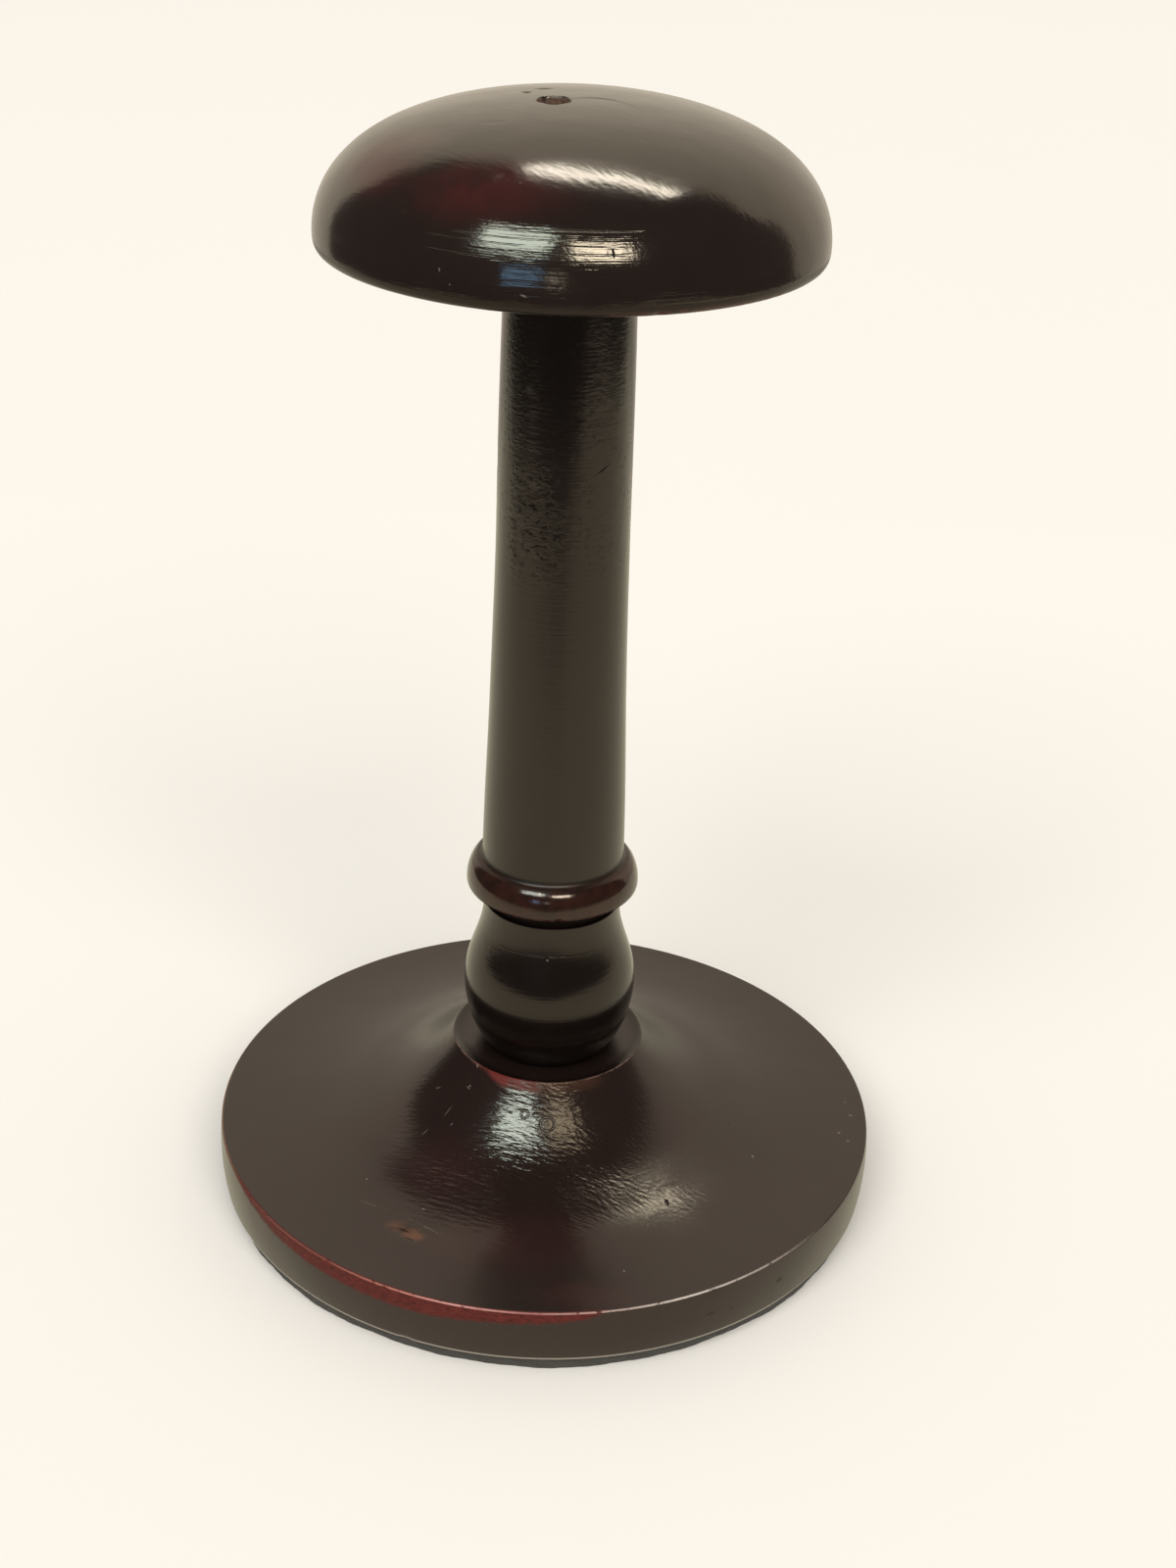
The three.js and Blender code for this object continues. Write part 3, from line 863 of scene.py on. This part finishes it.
def lacquer_on_column():
    g = Graph("lacquer_column")
    place, (x, y, z), radius, out, angle = g.coordinates()
    cloud = g.noise(g.combine(x, y, g.times(z, 0.35)), 0.06, 3, 0.55)
    fine = g.noise(place, 0.8, 4, 0.6)
    colour = g.mix(g.ease(cloud, 0.35, 0.7), (0.0085, 0.006, 0.0042), (0.0062, 0.0044, 0.0034))
    # Painted shade: the top of the shaft, under the cap, is coloured darker
    upper = g.ease(z, 165, 205)
    colour = g.mix(g.times(upper, 0.7), colour, (0.0045, 0.0036, 0.0032))

    # Bulb blacker, ring redder than the shaft
    on_ring = g.times(g.ease(z, 82.2, 83.4), g.ease(z, 92.2, 90.6), g.ease(radius, 17, 17.7))
    low = g.ease(z, 72.5, 70.5)
    colour = g.mix(low, colour, (0.0055, 0.0038, 0.003))
    ring_red = g.mix(g.ease(g.noise(place, 0.4, 3, 0.6), 0.35, 0.7),
                     (0.023, 0.0075, 0.005), (0.011, 0.005, 0.0036))
    colour = g.mix(on_ring, colour, ring_red)
    # Painted shade: the recessed neck under the ring, where the ring's shadow falls, is coloured
    # darker; it is also rougher and duller
    recess_shade = g.times(g.ease(z, 78.7, 79.1), g.ease(z, 83.5, 83.2))
    colour = g.mix(recess_shade, colour, (0.006, 0.0035, 0.0025))
    groove = g.times(g.ease(z, 90.2, 90.9), g.ease(z, 92.6, 91.8))
    # Pale line round the ring's lower lip: partly wear, partly a painted highlight of the light the
    # lip's edge catches
    lip_wear_and_highlight = g.times(g.circle(radius, z, 20.75, 83.7, 0.5), g.ease(g.noise(place, 0.5, 3, 0.6), 0.3, 0.6))
    colour = g.mix(g.times(lip_wear_and_highlight, 0.3), colour, (0.15, 0.095, 0.085))

    # Specks and chips
    pale = g.marks(
        place,
        ((-2.6, -18.9, 90.1), (0.35, 0.45, 0.35), 0, 0.5),
        ((2.1, -20.5, 83.5), (0.8, 0.8, 0.35), 0, 0.6),
        ((-9.2, -16, 69.5), (0.25, 0.35, 0.25), 0, 0.6, 0.4),
        ((-0.3, -17.6, 71), (0.4, 0.5, 0.3), 0, 0.6, 0.35),
        ((13, -12.4, 68.6), (0.25, 0.3, 0.35), 0, 0.6, 0.4),
        ((-7.8, -12.5, 211.1), (1.7, 1.7, 1.5), 0, 0.95, 0.06),
        ((-3.6, -15.1, 171), (0.3, 0.3, 0.3), 0, 0.6, 0.3),
    )
    colour = g.mix(g.times(pale, 0.8), colour, (0.42, 0.37, 0.3))
    cut = g.mark(place, (8.4, -12.5, 193.6), (2.5, 0.9, 0.3), (0, -29, 35.5), 0.6)
    colour = g.mix(g.times(cut, 0.8), colour, (0.003, 0.002, 0.001))

    # Chatter: two patches of short curling ridges high on the shaft, and the spindle's long grain
    curl = g.noise(g.combine(x, y, g.times(z, 1.6)), 0.62, 3, 0.65)
    broken = g.ease(g.noise(g.combine(x, y, g.times(z, 0.6)), 0.16), 0.36, 0.56)
    turned = g.times(g.near(z, 71.7, 0.08, 0.22), g.near(angle, -4, 18, 50), g.ease(fine, 0.35, 0.6))
    patchy = g.most(
        g.times(g.near(z, 182, 9, 18), g.near(angle, -24, 18, 36), broken),
        g.times(g.near(z, 216, 8, 18), g.near(angle, 26, 8, 22), broken, 0.42),
        g.times(g.near(z, 218, 16, 30), g.near(angle, -52, 10, 22), 0.5),
        g.times(g.near(z, 200, 20, 40), broken, 0.28),
    )
    grain = g.noise(g.combine(x, y, g.times(z, 0.05)), 0.8, 3, 0.6)
    rings = g.noise(g.vector("SCALE", out, 1.8), w=g.times(z, 1.7))
    fibres = g.noise(g.combine(x, y, g.times(z, 0.25)), 1.9, 2, 0.6)
    pits = g.times(patchy, g.ease(curl, 0.45, 0.39))
    knot = g.mark(place, (-7.9, -12.5, 211.2), (2.2, 2.2, 2), 0, 0.8)
    height = g.plus(g.times(curl, patchy, 1.1), g.times(grain, 0.2), g.times(rings, 0.15),
                    g.times(fine, 0.12), g.times(fibres, low, 0.15), g.times(cut, -1),
                    g.times(knot, 0.12), g.times(turned, 0.3))
    normal = g.bump(height, 0.00013)
    on_shaft = g.times(g.ease(z, 91, 92.5), g.inverse(on_ring))
    on_bulb = g.ease(z, 79.2, 78.6)
    roughness = g.plus(0.1, g.times(on_shaft, g.ease(z, 160, 215, 0.13, 0.04)),
                       g.times(on_bulb, g.ease(z, 66, 74, 0.04, 0.12)),
                       g.times(on_ring, g.ease(z, 89, 86.5, 0.02, 0.05)), g.times(fine, 0.03),
                       g.times(recess_shade, 0.45), g.times(pits, 0.25), g.times(cut, 0.4),
                       g.times(groove, 0.25))
    dull = g.most(g.times(recess_shade, 0.85), g.times(pits, 0.85), g.times(cut, 0.9), g.times(low, 0.08),
                  g.times(groove, 0.25))
    return g.lacquer(colour, roughness, normal, dull, 1.5, SHAFT_VARNISH)


def felt():
    g = Graph("felt_pad")
    place, (x, y, z), *_ = g.coordinates()
    fibres = g.noise(place, 2.6, 5, 0.75)
    long = g.noise(g.combine(x, y, g.times(z, 3)), 1.1, 4, 0.7)
    blotch = g.noise(place, 0.12, 2)
    colour = g.mix(fibres, (0.034, 0.031, 0.026), (0.092, 0.084, 0.071))
    colour = g.mix(g.ease(blotch, 0.4, 0.7, 0, 0.5), colour, (0.06, 0.061, 0.053))
    normal = g.bump(g.plus(fibres, g.times(long, 0.7)), 0.0005, strength=0.9)
    roughness = g.ease(fibres, 0.3, 0.7, 0.85, 1)
    return g.surface({"Base Color": colour, "Roughness": roughness, "Normal": normal,
                      "Sheen Weight": 0.12, "Sheen Roughness": 0.5, "IOR": 1.4})


def plain_wood():
    g = Graph("plain_wood")
    x, y, z = g.coordinates()[1]
    growth = g.noise(g.combine(x, y, g.times(z, 0.08)), 0.5, 4, 0.6)
    pores = g.noise(g.combine(g.times(x, 2), g.times(y, 2), g.times(z, 0.1)), 1.6, 3, 0.6)
    colour = g.mix(growth, (0.4, 0.24, 0.12), (0.27, 0.14, 0.06))
    colour = g.mix(g.ease(pores, 0.58, 0.7, 0, 0.6), colour, (0.12, 0.06, 0.03))
    normal = g.bump(g.plus(growth, pores), 0.0002, strength=0.6)
    roughness = g.ease(pores, 0.3, 0.7, 0.55, 0.75)
    return g.surface({"Base Color": colour, "Roughness": roughness, "Normal": normal, "IOR": 1.5})


# Pieces

def dress(piece, node, material):
    piece.data.materials.clear()
    piece.data.materials.append(material)
    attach(piece, "root")
    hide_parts(node)


dress(make_base(), "base", lacquer_on_base())
dress(make_column(), "column", lacquer_on_column())
dress(make_cap(), "cap", lacquer_on_cap())
dress(make_pad(), "base_pad", felt())

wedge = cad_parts["base_wedge"]
wedge.data.materials.clear()
wedge.data.materials.append(plain_wood())


# Floor, cards, lamps and camera, in metres

def stage_piece(name, points, faces, material):
    mesh = bpy.data.meshes.new(name)
    mesh.from_pydata(points, [], faces)
    mesh.materials.append(material)
    made = add_object(name, mesh)
    return made


def floor_material():
    g = Graph("pale_floor")
    place = g.node("TexCoord").outputs["Object"]
    soft = g.noise(place, 3)
    colour = g.mix(soft, (0.925, 0.885, 0.812), (0.935, 0.895, 0.827))
    # Painted reflection: gloss rays see the floor in a yellower colour, which tints its reflection in
    # the lacquer
    path = g.node("LightPath")
    colour = g.mix(path.outputs["Is Glossy Ray"], colour, (0.93, 0.87, 0.66))
    return g.surface({"Base Color": colour, "Roughness": 0.75, "IOR": 1.3})


FLOOR = [(-6, -6, 0), (6, -6, 0), (6, 6, 0), (-6, 6, 0)]
stage_piece("floor", FLOOR, [(0, 1, 2, 3)], floor_material())


# Cards glow with an emission of their own: each paints a reflection into the lacquer
def card_material(g, colour, strength):
    glow = g.node("Emission", {"Color": (*colour, 1), "Strength": strength})
    g.owner.cycles.emission_sampling = "NONE"
    return g.finish(glow)


def card(name, points, faces, material):
    """A stage piece that only gloss sees, as a studio's black and white cards; it glows with its own
    light, so its reflection in the lacquer is painted.
    """
    made = stage_piece(name, points, faces, material)
    for rays in ("camera", "diffuse", "transmission", "volume_scatter", "shadow"):
        setattr(made, "visible_" + rays, False)
    return made


DIM = (1, 0.85, 0.75)
ROOM_RADIUS = 3


def make_room():
    """The dim room round the table, a glowing card seen only in the lacquer as a painted reflection."""
    room = card("room_card", [], [], card_material(Graph("room_dim"), DIM, 0.09))
    shape = bmesh.new()
    bmesh.ops.create_uvsphere(shape, u_segments=48, v_segments=24, radius=ROOM_RADIUS)
    shape.to_mesh(room.data)
    shape.free()


# Outline of the pale table, and how far the dim floor round it reaches
TABLE = [
    (-0.72, 2.4), (-0.7, 0.25), (-0.6, 0.05), (-0.5, -0.36), (0.07, -0.5), (0.44, -0.6),
    (0.7, -0.42), (0.74, 0.3), (0.9, 2.4),
]
DIM_REACH, DIM_HEIGHT = 2.9, 0.0006


def make_dim_floor():
    """Everything round the pale table is dim in reflections."""
    points, faces = [], []
    for x, y in TABLE:
        reach = DIM_REACH / max(abs(x), abs(y))
        points += [(x, y, DIM_HEIGHT), (x * reach, y * reach, DIM_HEIGHT)]
    for i in range(len(TABLE)):
        a, b = 2 * i, 2 * ((i + 1) % len(TABLE))
        faces.append((a, a + 1, b + 1, b))
    card("dim_card", points, faces, card_material(Graph("floor_dim"), DIM, 0.07))


# A patch of shade on the table in front of the base
SHADE_HEIGHT = 0.0004
SHADE = [(x, y, SHADE_HEIGHT) for x, y in ((-0.11, -0.4), (-0.15, -0.6), (0.12, -0.6), (0.08, -0.4))]

# Upper edge of the pale wall, as (place across, height, place across at its foot)
WALL_Y = 0.47
WALL_EDGE = [
    (-0.66, 0.84, -0.66), (-0.36, 0.95, -0.36), (-0.14, 1.2, -0.14), (0.19, 1.54, 0.19),
    (0.63, 1.6, 0.63), (1.46, 1.72, 1.18),
]

# Shares of the edge's height where the wall starts to fade and where it has faded out, and how
# pale it is at its foot, where it starts to fade and where it has faded out
FADE_START, FADE_END = 0.7, 1.06
WALL_SHADES = [0.5, 1, 0]


def make_back_card():
    """The pale wall behind the table, a glowing card whose reflection in the lacquer is painted. It
    fades out towards its upper edge.
    """
    points, faces = [], []
    for x, height, foot in WALL_EDGE:
        points += [(foot, WALL_Y, 0), (x, WALL_Y, height * FADE_START), (x, WALL_Y, height * FADE_END)]
    for i in range(len(WALL_EDGE) - 1):
        for row in range(2):
            a = 3 * i + row
            faces.append((a, a + 3, a + 4, a + 1))
    g = Graph("back_pale")
    shade = g.node("Attribute", attribute_name="shade").outputs["Fac"]
    material = card_material(g, (1, 0.88, 0.7), g.ease(shade, 0, 0.85, 0.09, 1.06))
    wall = card("pale_card_back", points, faces, material)
    shades = wall.data.attributes.new("shade", "FLOAT", "POINT")
    shades.data.foreach_set("value", WALL_SHADES * len(WALL_EDGE))


make_room()
make_dim_floor()
card("shade_card", SHADE, [(0, 1, 2, 3)],
     card_material(Graph("table_shade"), (0.95, 0.88, 0.64), 0.62))
make_back_card()


def towards(azimuth, elevation):
    """Unit vector out to a direction."""
    a, e = math.radians(azimuth), math.radians(elevation)
    return np.array([math.sin(a) * math.cos(e), -math.cos(a) * math.cos(e), math.sin(e)])


def matrix_of(right, up, back, at):
    """The matrix of an object that looks away from back."""
    return Matrix([[right[i], up[i], back[i], at[i]] for i in range(3)] + [[0, 0, 0, 1]])


def place_lamp(name, data, azimuth, elevation, distance, aim, gloss):
    """Puts a lamp at a direction from the aim, facing it. A gloss lamp is only seen in the
    lacquer, and the others only light the surfaces."""
    made = add_object(name, data)
    back = towards(azimuth, elevation)
    side = np.cross([0, 0, 1], back)
    side /= np.linalg.norm(side)
    up = np.cross(back, side)
    at = np.array(aim) + back * distance
    made.matrix_world = matrix_of(side, up, back, at)
    made.visible_diffuse = not gloss
    made.visible_glossy = gloss
    made.visible_camera = False
    return made


def gloss_lamp(name, azimuth, elevation, distance, size, power, colour, aim=(0, 0, 0.2), pieces=()):
    """A rectangular lamp for the highlights, on all the pieces or on those that are named."""
    data = bpy.data.lights.new(name, "AREA")
    data.shape = "RECTANGLE"
    data.size, data.size_y = size
    data.energy = power
    data.color = colour
    made = place_lamp(name, data, azimuth, elevation, distance, aim, gloss=True)
    if pieces:
        receivers = bpy.data.collections.new(name + "_on")
        for piece in pieces:
            receivers.objects.link(bpy.data.objects[piece])
        made.light_linking.receiver_collection = receivers


def soft_sun(name, azimuth, elevation, strength, colour):
    data = bpy.data.lights.new(name, "SUN")
    data.energy = strength
    data.angle = math.radians(32)
    data.color = colour
    place_lamp(name, data, azimuth, elevation, 2, (0, 0, 0.1), gloss=False)


# The highlights, each with its direction, distance, size, power and colour: a cool and a warm
# window in front, hung separately for the base, a strip high behind for the cap and another for
# the base, and small blue and pale glints low in front
CAP, COLUMN, BASE = "cap_turned", "column_turned", "base_turned"
STRIP_ON_CAP, STRIP_ON_BASE = (0.009, -0.041, 0.262), (0.031, -0.043, 0.021)
COOL_LOW, WARM_LOW, BLUE = (0.8, 0.99, 0.87), (1, 0.9, 0.61), (0.28, 0.58, 1)
gloss_lamp("window_cool", -29, 46, 1.5, (0.68, 0.54), 15, (0.8, 0.95, 0.92), pieces=[CAP, COLUMN])
gloss_lamp("window_cool_low", -31, 52, 1.5, (0.64, 0.62), 22, COOL_LOW, pieces=[BASE])
gloss_lamp("window_warm", 16, 40, 1.5, (0.56, 0.34), 12.3, (1, 0.93, 0.8), pieces=[CAP, COLUMN])
gloss_lamp("window_warm_low", 20, 52, 1.5, (0.54, 0.6), 5.6, WARM_LOW, pieces=[BASE])
gloss_lamp("strip_on_cap", 160, 67, 0.9, (0.56, 0.069), 3.3, (1, 0.95, 0.86), STRIP_ON_CAP, [CAP])
gloss_lamp("strip_on_base", 151, 59, 0.8, (0.082, 0.08), 0.38, (1, 0.98, 0.74), STRIP_ON_BASE, [BASE])
gloss_lamp("glint_blue", -19.5, 11, 1.5, (0.42, 0.3), 1.7, BLUE, pieces=[CAP])
gloss_lamp("glint_on_ring", -19.5, 11, 1.5, (0.2, 0.2), 0.7, BLUE, pieces=[COLUMN])
gloss_lamp("glint_pale", -5.5, 10, 1.5, (0.13, 0.16), 0.25, (1, 0.93, 0.8))

# Plain soft light on everything
soft_sun("soft_left", -30, 47, 1.15, (0.98, 0.99, 1))
soft_sun("soft_right", 22, 42, 1.15, (1, 0.98, 0.95))


def make_world():
    """Even light on the stand, and a pale studio seen past the floor."""
    g = Graph("studio", "worlds", "OutputWorld")
    rays = g.node("LightPath").outputs
    seen = g.most(rays["Is Camera Ray"], rays["Is Glossy Ray"], rays["Is Transmission Ray"])
    light = g.node("Background", {"Color": (1, 0.98, 0.95, 1), "Strength": 0.585})
    pale = g.node("Background", {"Color": (0.97, 0.92, 0.8, 1), "Strength": 1})
    both = g.node("MixShader", {0: seen, 1: light.outputs[0], 2: pale.outputs[0]})
    world = g.finish(both)
    world.cycles.sampling_method = "NONE"
    bpy.context.scene.world = world


make_world()

# Camera, from the photograph's proportions: a 52.7 mm lens on a frame whose long side is 36 mm
right = (0.99927, 0.01754, 0.03393)
up = (-0.03819, 0.45882, 0.88771)
back = (0, -0.88836, 0.45915)
eye = (0.00783, -0.4881, 0.36229)
camera = add_object("camera", bpy.data.cameras.new("camera"))
camera.matrix_world = matrix_of(right, up, back, eye)
camera.data.sensor_width = 36
camera.data.lens = 52.7
camera.data.clip_start = 0.01
camera.data.clip_end = 50
bpy.context.scene.camera = camera
bpy.context.scene.view_settings.view_transform = "Standard"
